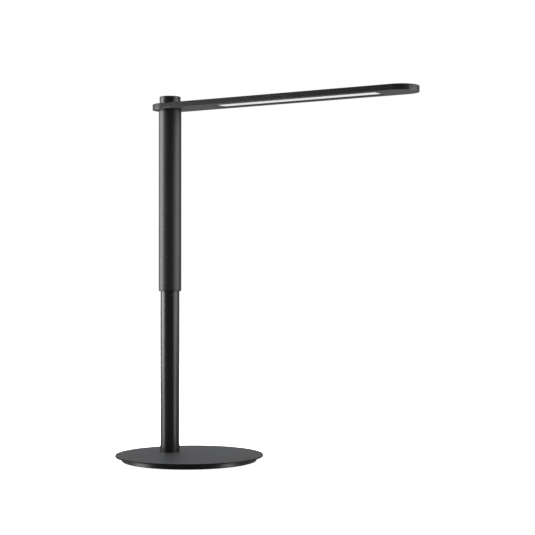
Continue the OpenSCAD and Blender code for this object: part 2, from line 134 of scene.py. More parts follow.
def sweep(corners, left, right=None, steps=192):
    # turns a profile about one axis, or round both ends of a bar where two axes are given
    points = roundCorners(corners)
    right = left if right is None else right
    mesh = bmesh.new()
    rings = []
    for k in range(steps):
        angle = 2 * math.pi * (k + 0.5) / steps
        centre = right if math.cos(angle) > 0 else left
        rings.append([mesh.verts.new((centre.x + p.x * mm * math.cos(angle),
                                      centre.y + p.x * mm * math.sin(angle), p.y * mm))
                      for p in points])
    isLoop = points[0].x > 0
    for k in range(steps):
        here, following = rings[k], rings[(k + 1) % steps]
        for i in range(len(points) - (0 if isLoop else 1)):
            j = (i + 1) % len(points)
            mesh.faces.new((here[i], following[i], following[j], here[j]))
    bmesh.ops.remove_doubles(mesh, verts=mesh.verts, dist=meshWork["weld"])
    bmesh.ops.recalc_face_normals(mesh, faces=mesh.faces)
    return mesh


def prism(outline, bottom, top, rounding=0.0):
    # an outline raised from bottom to top, all in millimetres, with its edges rounded
    mesh = bmesh.new()
    face = mesh.faces.new([mesh.verts.new((x * mm, y * mm, bottom * mm)) for x, y in outline])
    raised = bmesh.ops.extrude_face_region(mesh, geom=[face])["geom"]
    bmesh.ops.translate(mesh, vec=(0, 0, (top - bottom) * mm),
                        verts=[v for v in raised if isinstance(v, bmesh.types.BMVert)])
    bmesh.ops.recalc_face_normals(mesh, faces=mesh.faces)
    if rounding:
        limit = math.radians(meshWork["bevelFrom"])
        sharp = [e for e in mesh.edges if e.calc_face_angle(0) > limit]
        bmesh.ops.bevel(mesh, geom=sharp, offset=rounding * mm, segments=meshWork["bevelSteps"],
                        affect="EDGES", profile=0.5)
    return mesh


def asObject(name, mesh):
    data = bpy.data.meshes.new(name)
    mesh.to_mesh(data)
    mesh.free()
    piece = bpy.data.objects.new(name, data)
    bpy.context.collection.objects.link(piece)
    return piece


def rod(radius, bottom, top, x=0.0, y=0.0, steps=meshWork["bore"]):
    # a round tool at a point in millimetres
    return asObject("tool", sweep([(0, bottom, 0), (radius, bottom, 0), (radius, top, 0),
                                   (0, top, 0)], Vector((x * mm, y * mm)), steps=steps))


def block(x0, x1, y0, y1, bottom, top):
    # a square tool between two corners in millimetres
    return asObject("tool", prism([(x0, y0), (x1, y0), (x1, y1), (x0, y1)], bottom, top))


def combine(piece, tool, operation="DIFFERENCE"):
    # cuts the tool away from the piece, or joins it on
    modifier = piece.modifiers.new("combine", "BOOLEAN")
    modifier.operation = operation
    modifier.solver = "EXACT"
    modifier.object = tool
    bpy.context.view_layer.update()
    result = piece.evaluated_get(bpy.context.evaluated_depsgraph_get())
    data = bpy.data.meshes.new_from_object(result)
    piece.modifiers.clear()
    piece.data = data
    bpy.data.objects.remove(tool)


def placeAt(piece, centre, turn=0.0):
    # moves a piece that was made about its own axis to its axis on the lamp
    piece.data.transform(Matrix.Translation((centre.x, centre.y, 0))
                         @ Matrix.Rotation(turn, 4, "Z"))


def finishPiece(piece, material, body, slotName, *replaced):
    piece.data.materials.clear()
    piece.data.materials.append(material)
    piece.data.shade_smooth()
    piece.data.set_sharp_from_angle(angle=math.radians(meshWork["creaseFrom"]))
    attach(piece, body)
    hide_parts(*replaced)


def holdFlats(piece):
    # keeps wide flat faces flat beside their rounded edges
    weighted = piece.modifiers.new("weighted normals", "WEIGHTED_NORMAL")
    weighted.keep_sharp = True
    weighted.weight = meshWork["flatWeight"]


# Materials

def colour(hexValue):
    # sRGB hex to linear
    parts = [int(hexValue[i:i + 2], 16) / 255 for i in (1, 3, 5)]
    linear = [c / 12.92 if c <= 0.04045 else ((c + 0.055) / 1.055) ** 2.4 for c in parts]
    return (*linear, 1.0)


def addNode(tree, kind, settings=None, links=None):
    # settings are properties or input values, by name or number; links say what feeds an input
    node = tree.nodes.new(kind)
    for name, value in (settings or {}).items():
        if isinstance(name, int) or name in node.inputs:
            node.inputs[name].default_value = value
        else:
            setattr(node, name, value)
    for name, source in (links or {}).items():
        tree.links.new(source, node.inputs[name])
    return node


def perMetre(sizeInMm):
    # the scale that gives a noise or cell texture features of about this size
    return 1000.0 / sizeInMm


def startMaterial(name):
    material = bpy.data.materials.new(name)
    material.use_nodes = True
    tree = material.node_tree
    tree.nodes.clear()
    return material, tree, addNode(tree, "ShaderNodeTexCoord").outputs["Object"]


def finishMaterial(tree, look, settings, toneFrom, glossFrom, bump):
    # tone wanders between the look's dark and light, and roughness to both sides of its middle
    tone = addNode(tree, "ShaderNodeMix",
                   {"data_type": "RGBA", 6: colour(look["dark"]), 7: colour(look["light"])},
                   {0: toneFrom.outputs[0]})
    gloss = addNode(tree, "ShaderNodeMapRange",
                    {"To Min": look["roughness"] - look["glossSpread"],
                     "To Max": look["roughness"] + look["glossSpread"]},
                    {"Value": glossFrom.outputs[0]})
    shader = addNode(tree, "ShaderNodeBsdfPrincipled", settings,
                     {"Base Color": tone.outputs[2], "Roughness": gloss.outputs[0],
                      "Normal": bump.outputs[0]})
    addNode(tree, "ShaderNodeOutputMaterial", links={"Surface": shader.outputs[0]})


def makePaint(name, look):
    # sprayed or powder coated paint: a soft orange peel, and a faint cloudiness in tone and gloss
    material, tree, place = startMaterial(name)
    peel = addNode(tree, "ShaderNodeTexNoise",
                   {"Scale": perMetre(look["peelSize"]), "Detail": 2.0, "Roughness": 0.45},
                   {"Vector": place})
    cloud = addNode(tree, "ShaderNodeTexNoise",
                    {"Scale": perMetre(look["cloudSize"]), "Detail": 3.0}, {"Vector": place})
    bump = addNode(tree, "ShaderNodeBump",
                   {"Strength": look["peelStrength"], "Distance": look["peelDepth"] * mm},
                   {"Height": peel.outputs[0]})
    finishMaterial(tree, look, {"IOR": look["ior"]}, cloud, cloud, bump)
    return material


# Polyester powder coat on steel: satin, with a fine orange peel that breaks reflections up a bit.
# The peel is taken as 0.8 mm across, and it is drawn twice as coarse so that it shows.
powderCoat = makePaint("satin powder coat", {
    "dark": "#2b2c2e", "light": "#303133", "roughness": 0.45, "glossSpread": 0.03, "ior": 1.5,
    "peelSize": 1.6, "peelStrength": 0.25, "peelDepth": 0.02, "cloudSize": 60.0})
# The same coat on the plate's edge, with its colour drawn darker as painted shade, and duller than
# on the flat.
# Its IOR is below the usual 1.5 of paint for that, and no real cause is claimed.
edgeCoatPaintedShade = makePaint("edge powder coat with painted shade", {
    "dark": "#101113", "light": "#141517", "roughness": 0.44, "glossSpread": 0.03, "ior": 1.38,
    "peelSize": 1.6, "peelStrength": 0.12, "peelDepth": 0.015, "cloudSize": 60.0})
# Lacquer sprayed on aluminium: soft, clear highlights and almost no grain
satinLacquer = makePaint("satin lacquer on aluminium", {
    "dark": "#1c1d20", "light": "#222326", "roughness": 0.29, "glossSpread": 0.02, "ior": 1.5,
    "peelSize": 1.2, "peelStrength": 0.12, "peelDepth": 0.012, "cloudSize": 45.0})
# The same lacquer with more matting agent, for the sliding tube: a wider, duller highlight
mattLacquer = makePaint("matt lacquer on aluminium", {
    "dark": "#1c1d20", "light": "#222326", "roughness": 0.43, "glossSpread": 0.02, "ior": 1.5,
    "peelSize": 1.2, "peelStrength": 0.12, "peelDepth": 0.012, "cloudSize": 45.0})
# Stoved semi-gloss enamel on steel: a deeper black with clear highlights
semiGlossEnamel = makePaint("semi-gloss enamel on steel", {
    "dark": "#141517", "light": "#191a1c", "roughness": 0.3, "glossSpread": 0.02, "ior": 1.5,
    "peelSize": 2.5, "peelStrength": 0.1, "peelDepth": 0.012, "cloudSize": 40.0})


def makeMoulded(name, look):
    # moulded or foamed polymer: the grain of the tool, or the cells of the foam, as small dimples
    material, tree, place = startMaterial(name)
    cells = addNode(tree, "ShaderNodeTexVoronoi", {"Scale": perMetre(look["grainSize"])},
                    {"Vector": place})
    flow = addNode(tree, "ShaderNodeTexNoise",
                   {"Scale": perMetre(look["flowSize"]), "Detail": 2.0}, {"Vector": place})
    bump = addNode(tree, "ShaderNodeBump",
                   {"Strength": look["grainStrength"], "Distance": look["grainDepth"] * mm},
                   {"Height": cells.outputs[0]})
    finishMaterial(tree, look, {"IOR": look["ior"]}, flow, cells, bump)
    return material


# Acetal, injection moulded: matt black with a faint spark eroded grain
blackAcetal = makeMoulded("black acetal", {
    "dark": "#121213", "light": "#181819", "roughness": 0.45, "glossSpread": 0.05, "ior": 1.48,
    "grainSize": 0.7, "grainStrength": 0.3, "grainDepth": 0.03, "flowSize": 15.0})
# Polyamide, injection moulded: milky white and slightly waxy
whitePolyamide = makeMoulded("white polyamide", {
    "dark": "#e4e2da", "light": "#efede6", "roughness": 0.4, "glossSpread": 0.05, "ior": 1.53,
    "grainSize": 0.6, "grainStrength": 0.2, "grainDepth": 0.02, "flowSize": 8.0})
# Foamed rubber sheet: dead matt, with open cells about a millimetre across
foamRubber = makeMoulded("foam rubber", {
    "dark": "#19191a", "light": "#222223", "roughness": 0.85, "glossSpread": 0.08, "ior": 1.52,
    "grainSize": 1.0, "grainStrength": 0.8, "grainDepth": 0.12, "flowSize": 20.0})
# Soft vinyl, extruded as the sleeve of a lead: smooth black with a dull shine
softVinyl = makeMoulded("soft vinyl", {
    "dark": "#0f0f10", "light": "#151516", "roughness": 0.38, "glossSpread": 0.04, "ior": 1.53,
    "grainSize": 2.0, "grainStrength": 0.1, "grainDepth": 0.02, "flowSize": 12.0})


def makeMetal(name, look):
    # bare or plated metal: level marks, as turning leaves on an upright piece, and faint clouds
    material, tree, place = startMaterial(name)
    stretched = addNode(tree, "ShaderNodeMapping", {"Scale": (0.05, 0.05, 1.0)},
                        {"Vector": place})
    marks = addNode(tree, "ShaderNodeTexNoise",
                    {"Scale": perMetre(look["markPitch"]), "Detail": 2.0},
                    {"Vector": stretched.outputs[0]})
    cloud = addNode(tree, "ShaderNodeTexNoise",
                    {"Scale": perMetre(look["cloudSize"]), "Detail": 3.0}, {"Vector": place})
    bump = addNode(tree, "ShaderNodeBump", {"Strength": 0.2, "Distance": look["markDepth"] * mm},
                   {"Height": marks.outputs[0]})
    finishMaterial(tree, look, {"Metallic": 1.0}, cloud, marks, bump)
    return material


# Zinc plated steel: cool grey with a faint bloom
zincPlate = makeMetal("zinc plated steel", {
    "dark": "#9fa3a8", "light": "#b4b7ba", "roughness": 0.32, "glossSpread": 0.06,
    "markPitch": 0.3, "markDepth": 0.01, "cloudSize": 6.0})
# Brass, turned: warm yellow, almost polished
turnedBrass = makeMetal("turned brass", {
    "dark": "#c9a45c", "light": "#d6b36c", "roughness": 0.22, "glossSpread": 0.05,
    "markPitch": 0.2, "markDepth": 0.01, "cloudSize": 4.0})
# Aluminium, turned and left bare: pale and slightly satin from the tool marks
turnedAluminium = makeMetal("turned aluminium", {
    "dark": "#c4c6c9", "light": "#d2d4d6", "roughness": 0.28, "glossSpread": 0.05,
    "markPitch": 0.25, "markDepth": 0.01, "cloudSize": 8.0})


def makeBoard(name, look):
    # circuit board under solder mask: a net of tracks that stand up a little and look paler
    material, tree, place = startMaterial(name)
    tracks = addNode(tree, "ShaderNodeTexBrick",
                     {"Scale": 1.0, "Brick Width": look["trackLength"] * mm,
                      "Row Height": look["trackPitch"] * mm, "Mortar Size": look["trackWidth"] * mm,
                      "Color1": colour(look["mask"]), "Color2": colour(look["maskDark"]),
                      "Mortar": colour(look["track"])}, {"Vector": place})
    bump = addNode(tree, "ShaderNodeBump", {"Strength": 0.4, "Distance": look["trackHeight"] * mm},
                   {"Height": tracks.outputs["Fac"]})
    shader = addNode(tree, "ShaderNodeBsdfPrincipled", {"Roughness": 0.3, "IOR": 1.5},
                     {"Base Color": tracks.outputs["Color"], "Normal": bump.outputs[0]})
    addNode(tree, "ShaderNodeOutputMaterial", links={"Surface": shader.outputs[0]})
    return material


# Glass epoxy board with green solder mask: a glassy lacquer over fine copper tracks
greenBoard = makeBoard("green circuit board", {
    "mask": "#1c5a3a", "maskDark": "#195234", "track": "#2b7550",
    "trackLength": 6.0, "trackPitch": 1.5, "trackWidth": 0.35, "trackHeight": 0.03})
# Aluminium board with white solder mask: bright white, with its tracks only just visible
whiteBoard = makeBoard("white led board", {
    "mask": "#eceae4", "maskDark": "#e8e6df", "track": "#dedcd4",
    "trackLength": 10.0, "trackPitch": 6.0, "trackWidth": 0.5, "trackHeight": 0.03})


def makeFelt(name, look):
    # pressed wool felt: a dull, hairy surface with fibres in every direction
    material, tree, place = startMaterial(name)
    fibres = addNode(tree, "ShaderNodeTexNoise",
                     {"Scale": perMetre(look["fibreSize"]), "Detail": 5.0, "Roughness": 0.7,
                      "Distortion": 1.5}, {"Vector": place})
    tone = addNode(tree, "ShaderNodeMix",
                   {"data_type": "RGBA", 6: colour(look["dark"]), 7: colour(look["light"])},
                   {0: fibres.outputs[0]})
    bump = addNode(tree, "ShaderNodeBump", {"Strength": 0.8, "Distance": look["fibreDepth"] * mm},
                   {"Height": fibres.outputs[0]})
    shader = addNode(tree, "ShaderNodeBsdfPrincipled",
                     {"Roughness": 0.95, "Sheen Weight": 0.3, "Sheen Roughness": 0.5},
                     {"Base Color": tone.outputs[2], "Normal": bump.outputs[0]})
    addNode(tree, "ShaderNodeOutputMaterial", links={"Surface": shader.outputs[0]})
    return material


woolFelt = makeFelt("wool felt", {
    "dark": "#2b2b2c", "light": "#454546", "fibreSize": 0.4, "fibreDepth": 0.15})


def makeOpal(name, look):
    # opal acrylic with a satin face: milky white, lit from behind by LEDs that it almost hides
    material, tree, place = startMaterial(name)
    waveTurns = 20 / (2 * math.pi)  # waves that the wave texture draws in one unit at a scale of 1
    spots = addNode(tree, "ShaderNodeTexWave",
                    {"bands_direction": "X", "Scale": perMetre(look["ledPitch"]) / waveTurns},
                    {"Vector": place})
    glow = addNode(tree, "ShaderNodeMix",
                   {"data_type": "RGBA", 6: colour(look["glowDim"]), 7: colour(look["glow"])},
                   {0: spots.outputs[1]})
    satin = addNode(tree, "ShaderNodeTexNoise",
                    {"Scale": perMetre(look["satinSize"]), "Detail": 2.0}, {"Vector": place})
    bump = addNode(tree, "ShaderNodeBump", {"Strength": 0.1, "Distance": look["satinDepth"] * mm},
                   {"Height": satin.outputs[0]})
    gloss = addNode(tree, "ShaderNodeMapRange",
                    {"To Min": look["roughness"] - look["glossSpread"],
                     "To Max": look["roughness"] + look["glossSpread"]},
                    {"Value": satin.outputs[0]})
    shader = addNode(tree, "ShaderNodeBsdfPrincipled",
                     {"Base Color": colour(look["white"]), "IOR": 1.49,
                      "Emission Strength": look["glowStrength"]},
                     {"Emission Color": glow.outputs[2], "Roughness": gloss.outputs[0],
                      "Normal": bump.outputs[0]})
    addNode(tree, "ShaderNodeOutputMaterial", links={"Surface": shader.outputs[0]})
    return material


opalAcrylic = makeOpal("opal acrylic", {
    "white": "#e9e9e6", "glow": "#ffffff", "glowDim": "#f4f4f1", "glowStrength": 0.48,
    "ledPitch": 9.56, "satinSize": 1.2, "satinDepth": 0.02, "roughness": 0.38,
    "glossSpread": 0.04})
print("materials made,", len(bpy.data.materials))


# Base

# the base is made with its stem on its own -X side, and then turned to the lamp's
baseTurn = math.atan2(stemAxis.y, stemAxis.x) - math.pi
stemOffset = stemAxis.length / mm
weightRadius = plan("base_weight")[1]
screws = {"inset": 22.0, "count": 3, "radius": 1.65, "headRadius": 3.25, "depth": 1.45}
leadHole = {"radius": 1.7, "offset": 8.7}
boltHole = 2.55


def screwPlaces():
    ring = weightRadius - screws["inset"]
    for k in range(screws["count"]):
        angle = 2 * math.pi * k / screws["count"]
        yield ring * math.cos(angle), ring * math.sin(angle)


def cutStemHoles(piece, bottom, top, x):
    combine(piece, rod(boltHole, bottom - over, top + over, x))
    combine(piece, rod(leadHole["radius"], bottom - over, top + over, x + leadHole["offset"]))


plate = {"underRound": 0.3, "topRound": 0.5, "paintedShadeSteepness": 0.4}


def shadeUprightFaces(piece, material):
    # a second finish, darkened as painted shade, for all faces that stand nearly upright, which are
    # the rim's and the holes'
    piece.data.materials.append(material)
    for face in piece.data.polygons:
        if abs(face.normal.z) < plate["paintedShadeSteepness"]:
            face.material_index = 1


def makePlate():
    _, radius, bottom, top = plan("base_plate")
    piece = asObject("basePlate", sweep([(0, bottom, 0), (radius, bottom, plate["underRound"]),
                                         (radius, top, plate["topRound"]), (0, top, 0)],
                                        Vector((0, 0)), steps=meshWork["disc"]))
    cutStemHoles(piece, bottom, top, -stemOffset)
    for x, y in screwPlaces():
        combine(piece, rod(screws["radius"], bottom - over, bottom + screws["depth"], x, y,
                           meshWork["small"]))
    placeAt(piece, baseAxis, baseTurn)
    finishPiece(piece, powderCoat, "base", "satin_black_paint", "base_plate")
    # the upright faces take the darker copy of the coat, which is painted shade
    shadeUprightFaces(piece, edgeCoatPaintedShade)
    holdFlats(piece)


weight = {
    "underRound": 0.5, "topRound": 0.4, "pocketRoof": 5.0, "stemRecess": 12.0,
    "board": (18.5, 11.5),           # half the length and width of its pocket
    "inletSlot": (9.55, 3.05, 5.5),  # depth from the rim, half width, roof
    "lane": 5.0, "laneSide": 9.9,    # width of the lead's lane, and how far it lies to the side
    "laneLap": (0.05, 0.1),          # how far it reaches into the inlet's slot, and off its side
    "sinkLap": 0.01,                 # how far below the weight the sinks of its screws begin
}


def makeWeight():
    _, radius, bottom, top = plan("base_weight")
    piece = asObject("baseWeight", sweep([(0, bottom, 0), (radius, bottom, weight["underRound"]),
                                          (radius, top, weight["topRound"]), (0, top, 0)],
                                         Vector((0, 0)), steps=meshWork["disc"]))
    cutStemHoles(piece, bottom, top, -stemOffset)
    below, roof, half = bottom - over, weight["pocketRoof"], weight["lane"] / 2
    slotDepth, slotY, slotTop = weight["inletSlot"]
    slotX = radius - slotDepth
    boardX, boardY = weight["board"]
    side = weight["laneSide"]
    reachIn, stayOff = weight["laneLap"]
    combine(piece, rod(weight["stemRecess"], below, roof, -stemOffset))
    combine(piece, block(-boardX, boardX, -boardY, boardY, below, roof))
    combine(piece, block(-radius - over, -slotX, -slotY, slotY, below, slotTop))
    combine(piece, block(-slotX - reachIn, -slotX + 2 * half, -slotY + stayOff, side + half,
                         below, roof))
    combine(piece, block(-slotX + half, -boardX + over, side - half, side + half, below, roof))
    combine(piece, block(-stemOffset, -boardX + over, -half, half, below, roof))
    head, shank = screws["headRadius"], screws["radius"]
    sunk = bottom - weight["sinkLap"]
    for x, y in screwPlaces():
        combine(piece, asObject("tool", sweep([
            (0, sunk, 0), (head, sunk, 0), (shank, bottom + head - shank, 0),
            (shank, top + over, 0), (0, top + over, 0)],
            Vector((x * mm, y * mm)), steps=meshWork["small"])))
    placeAt(piece, baseAxis, baseTurn)
    finishPiece(piece, semiGlossEnamel, "base", "gloss_black_paint", "base_weight")
    holdFlats(piece)


pad = {"underRound": 0.3, "topRound": 0.15}


def makePad():
    centre, radius, bottom, top = plan("base_pad")
    piece = asObject("basePad", sweep([(0, bottom, 0), (radius, bottom, pad["underRound"]),
                                       (radius, top, pad["topRound"]), (0, top, 0)],
                                      centre, steps=meshWork["disc"]))
    finishPiece(piece, foamRubber, "base", "black_rubber", "base_pad")
    holdFlats(piece)


inlet = {"length": 9.0, "width": 6.0, "inset": 0.5, "edgeRound": 0.4, "boreRadius": 1.8,
         "boreDepth": 7.5, "boreHeight": 3.15, "mouth": 0.35}


def makeInlet():
    _, _, bottom, top = plan("power_inlet")
    back, half = weightRadius - inlet["inset"], inlet["width"] / 2
    piece = asObject("powerInlet", prism([(-back, -half), (-back + inlet["length"], -half),
                                          (-back + inlet["length"], half), (-back, half)],
                                         bottom, top, inlet["edgeRound"]))
    bore, depth, mouth = inlet["boreRadius"], inlet["boreDepth"], inlet["mouth"]
    # the bore's tool has a cone at its mouth, and is laid down so that it enters from the rim
    tool = asObject("tool", sweep([(0, -over, 0), (bore + mouth + over, -over, 0), (bore, mouth, 0),
                                   (bore, depth, 0), (0, depth, 0)], Vector((0, 0)),
                                  steps=meshWork["bore"]))
    tool.data.transform(Matrix.Translation((-back * mm, 0, inlet["boreHeight"] * mm))
                        @ Matrix.Rotation(math.radians(90), 4, "Y"))
    combine(piece, tool)
    placeAt(piece, baseAxis, baseTurn)
    finishPiece(piece, blackAcetal, "base", "black_plastic", "power_inlet")
    holdFlats(piece)


makePlate()
makeWeight()
makePad()
makeInlet()
print("base made")


# Stem

# the shoulder is a height above the table, which the lower tube stands on
foot = {"shoulder": 17.1, "underRound": 0.2, "shoulderRound": 0.5, "spigotRadius": 11.25,
        "spigotRound": 0.5, "boltDepth": 17.0}


def makeFoot():
    _, radius, bottom, top = plan("stem_foot")
    piece = asObject("stemFoot", sweep([
        (0, bottom, 0), (radius, bottom, foot["underRound"]),
        (radius, foot["shoulder"], foot["shoulderRound"]),
        (foot["spigotRadius"], foot["shoulder"], 0),
        (foot["spigotRadius"], top, foot["spigotRound"]), (0, top, 0)], Vector((0, 0))))
    combine(piece, rod(boltHole, bottom - over, bottom + foot["boltDepth"]))
    combine(piece, rod(leadHole["radius"], bottom - over, top + over, leadHole["offset"]))
    placeAt(piece, stemAxis, baseTurn)
    finishPiece(piece, semiGlossEnamel, "base", "gloss_black_paint", "stem_foot")
    holdFlats(piece)


lowerTube = {"bore": 11.3, "rimRound": 0.35}


def makeLowerTube():
    _, radius, bottom, top = plan("lower_tube")
    bore, rim = lowerTube["bore"], lowerTube["rimRound"]
    piece = asObject("lowerTube", sweep([(bore, bottom, rim), (radius, bottom, rim),
                                         (radius, top, rim), (bore, top, rim)], stemAxis))
    finishPiece(piece, semiGlossEnamel, "base", "gloss_black_paint", "lower_tube")
    holdFlats(piece)


coil = {"leadRadius": 1.1, "meanRadius": 6.5, "turns": 66, "stepsPerTurn": 20, "sides": 8,
        "collapse": 140.0}  # millimetres that it shortens by when the stem is right in


def makeCoil():
    # a coiled lead, made with its turns lying apart, as they do while the stem is drawn out
    centre, _, bottom, top = plan("stem_coil")
    wire, mean, sides = coil["leadRadius"], coil["meanRadius"], coil["sides"]
    low, high = bottom + wire, top - wire
    count = coil["turns"] * coil["stepsPerTurn"]
    mesh = bmesh.new()
    rings = []
    for i in range(count + 1):
        angle = 2 * math.pi * i / coil["stepsPerTurn"]
        height = low + (high - low) * i / count
        ring = []
        for k in range(sides):
            around = 2 * math.pi * k / sides
            reach = mean + wire * math.cos(around)
            ring.append(mesh.verts.new((reach * mm * math.cos(angle), reach * mm * math.sin(angle),
                                        (height + wire * math.sin(around)) * mm)))
        rings.append(ring)
    for here, following in zip(rings, rings[1:]):
        for k in range(sides):
            n = (k + 1) % sides
            mesh.faces.new((here[k], following[k], following[n], here[n]))
    mesh.faces.new(rings[0])
    mesh.faces.new(rings[-1])
    bmesh.ops.recalc_face_normals(mesh, faces=mesh.faces)
    piece = asObject("stemCoil", mesh)
    placeAt(piece, centre)
    finishPiece(piece, softVinyl, "base", "lead_rubber", "stem_coil")
    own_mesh(piece)


makeFoot()
makeLowerTube()
makeCoil()
print("lower stem made")

upperTube = {"bore": 13.5, "rimRound": 0.45}


def makeUpperTube():
    _, radius, bottom, top = plan("upper_tube")
    bore, rim = upperTube["bore"], upperTube["rimRound"]
    piece = asObject("upperTube", sweep([(bore, bottom, rim), (radius, bottom, rim),
                                         (radius, top, rim), (bore, top, rim)], stemAxis))
    finishPiece(piece, mattLacquer, "column", "satin_black_aluminium", "upper_tube")
    holdFlats(piece)


endRing = {"height": 2.0, "bore": 12.55, "guideRadius": 13.45, "lowerRound": 0.6,
           "upperRound": 0.15, "boreRound": 0.25, "guideRound": 0.3, "guideBoreRound": 0.1}


def makeEndRing():
    # the guide in the upper tube, which shows as a plain ring below the tube's end
    _, radius, bottom, top = plan("lower_guide")
    shelf = bottom + endRing["height"]
    piece = asObject("endRing", sweep([
        (endRing["bore"], bottom, endRing["boreRound"]), (radius, bottom, endRing["lowerRound"]),
        (radius, shelf, endRing["upperRound"]), (endRing["guideRadius"], shelf, 0),
        (endRing["guideRadius"], top, endRing["guideRound"]),
        (endRing["bore"], top, endRing["guideBoreRound"])], stemAxis))
    finishPiece(piece, blackAcetal, "column", "black_plastic", "lower_guide")
    holdFlats(piece)


makeUpperTube()
makeEndRing()
print("upper stem made")


# Arm

arm = {
    "topRound": 0.9, "rimRound": 0.35, "wallRound": 0.15, "wall": 1.8, "skin": 1.2,
    "hubRadius": 14.5, "boltHole": 6.05,
    "window": (78.0, 311.5), "windowHalf": 12.55, "diffuserLap": 3.0, "gap": 0.05,
    "groove": (9.05, 11.45, 2.2),  # inner and outer radius and depth of the stop pin's groove
    "grooveRib": 0.8,              # half the width of the rib that the pin stops against
    "leadHole": (9.225, 1.3),      # distance from the axis and radius
    "leadLane": 465.75,            # height of its floor above the table
    "bosses": ((66.0, 15.45), (66.0, -15.45), (323.5, 15.45), (323.5, -15.45), (-17.975, 0.0)),
    "bossRadius": 3.0, "bossHeight": 3.0, "studHole": 1.55,
}
_, armRadius, armBottom, armTop = plan("arm_shell")
tipAxis = Vector((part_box("arm_shell")[1].x - armRadius * mm, stemAxis.y))
armLength = (tipAxis.x - stemAxis.x) / mm
tip = Vector((armLength * mm, 0))
armInside = armRadius - arm["wall"]
skinUnder = armTop - arm["skin"]


def makeArm():
    # made about the stem's axis, then moved there
    piece = asObject("armShell", sweep([
        (0, armTop, 0), (armRadius, armTop, arm["topRound"]),
        (armRadius, armBottom, arm["rimRound"]), (armInside, armBottom, arm["wallRound"]),
        (armInside, skinUnder, 0), (0, skinUnder, 0)], Vector((0, 0)), tip))
    combine(piece, rod(arm["hubRadius"], armBottom, skinUnder + lap, steps=meshWork["wide"]),
            "UNION")
    bossEnd = skinUnder - arm["bossHeight"]
    for x, y in arm["bosses"]:
        combine(piece, rod(arm["bossRadius"], bossEnd, skinUnder + lap, x, y, meshWork["small"]),
                "UNION")
        combine(piece, rod(arm["studHole"], bossEnd - over, skinUnder, x, y, meshWork["tiny"]))
    combine(piece, rod(arm["boltHole"], armBottom - over, armTop + over))
    inner, outer, depth = arm["groove"]
    groove = asObject("tool", sweep([(inner, armBottom - over, 0), (outer, armBottom - over, 0),
                                     (outer, armBottom + depth, 0), (inner, armBottom + depth, 0)],
                                    Vector((0, 0)), steps=meshWork["groove"]))
    rib = arm["grooveRib"]
    combine(groove, block(0, arm["hubRadius"], -rib, rib, armBottom - 2 * over,
                          armBottom + depth + over))
    combine(piece, groove)
    leadX, leadRadius = arm["leadHole"]
    combine(piece, rod(leadRadius, arm["leadLane"], armTop + over, leadX, 0, meshWork["small"]))
    combine(piece, block(leadX, arm["hubRadius"] + over, -leadRadius, leadRadius, arm["leadLane"],
                         skinUnder))
    placeAt(piece, stemAxis)
    finishPiece(piece, satinLacquer, "arm", "satin_black_aluminium", "arm_shell")
    holdFlats(piece)


closingPlate = {"thickness": 1.2, "rimRound": 0.2, "topRound": 0.1, "windowFlare": 0.3,
                "studRadius": 1.5, "studGap": 0.1}


def funnel(x0, x1, half, bottom, top, flare):
    # a square tool that spreads a little where it comes out below
    mesh = bmesh.new()
    rings = []
    for height, spread in ((bottom - over, flare + over), (bottom + flare, 0), (top + over, 0)):
        rings.append([mesh.verts.new((x * mm, y * mm, height * mm))
                      for x, y in ((x0 - spread, -half - spread), (x1 + spread, -half - spread),
                                   (x1 + spread, half + spread), (x0 - spread, half + spread))])
    for here, following in zip(rings, rings[1:]):
        for k in range(4):
            n = (k + 1) % 4
            mesh.faces.new((here[k], here[n], following[n], following[k]))
    mesh.faces.new(rings[0][::-1])
    mesh.faces.new(rings[-1])
    bmesh.ops.recalc_face_normals(mesh, faces=mesh.faces)
    return asObject("tool", mesh)


def makeClosingPlate():
    # the plate that closes the arm from below, with a thicker frame round the window
    side = armInside - arm["gap"]
    top = armBottom + closingPlate["thickness"]
    frameTop = plan("diffuser")[2] - arm["gap"]
    x0, x1 = arm["window"]
    reach = arm["diffuserLap"] + arm["gap"]
    piece = asObject("closingPlate", sweep([
        (0, armBottom, 0), (side, armBottom, closingPlate["rimRound"]),
        (side, top, closingPlate["topRound"]), (0, top, 0)], Vector((0, 0)), tip))
    combine(piece, block(x0 - reach, x1 + reach, -side, side, top - lap, frameTop), "UNION")
    combine(piece, funnel(x0, x1, arm["windowHalf"], armBottom, frameTop,
                          closingPlate["windowFlare"]))
    for x, y in arm["bosses"]:
        combine(piece, rod(closingPlate["studRadius"], top - lap,
                           skinUnder - closingPlate["studGap"], x, y, meshWork["tiny"]), "UNION")
    combine(piece, rod(arm["hubRadius"] + arm["gap"], armBottom - over, top + over,
                       steps=meshWork["wide"]))
    placeAt(piece, stemAxis)
    finishPiece(piece, satinLacquer, "arm", "satin_black_aluminium", "underplate")
    holdFlats(piece)


diffuserSheet = {"edgeRound": 0.25}


def makeDiffuser():
    _, half, bottom, top = plan("diffuser")
    x0, x1 = arm["window"][0] - arm["diffuserLap"], arm["window"][1] + arm["diffuserLap"]
    piece = asObject("diffuserSheet", prism([(x0, -half), (x1, -half), (x1, half), (x0, half)],
                                            bottom, top, diffuserSheet["edgeRound"]))
    placeAt(piece, stemAxis)
    finishPiece(piece, opalAcrylic, "arm", "opal_acrylic", "diffuser")
    holdFlats(piece)


makeArm()
makeClosingPlate()
makeDiffuser()
print("arm made")


# Cap and button

# inside, ledge and hole are radii, and the ledge's height is above the table
cap = {"topRound": 0.8, "underRound": 0.2, "insideRound": 0.2, "inside": 12.5, "ledge": 11.5,
       "ledgeHeight": 475.5, "topThickness": 1.6, "hole": 8.5, "holeRound": 0.35}


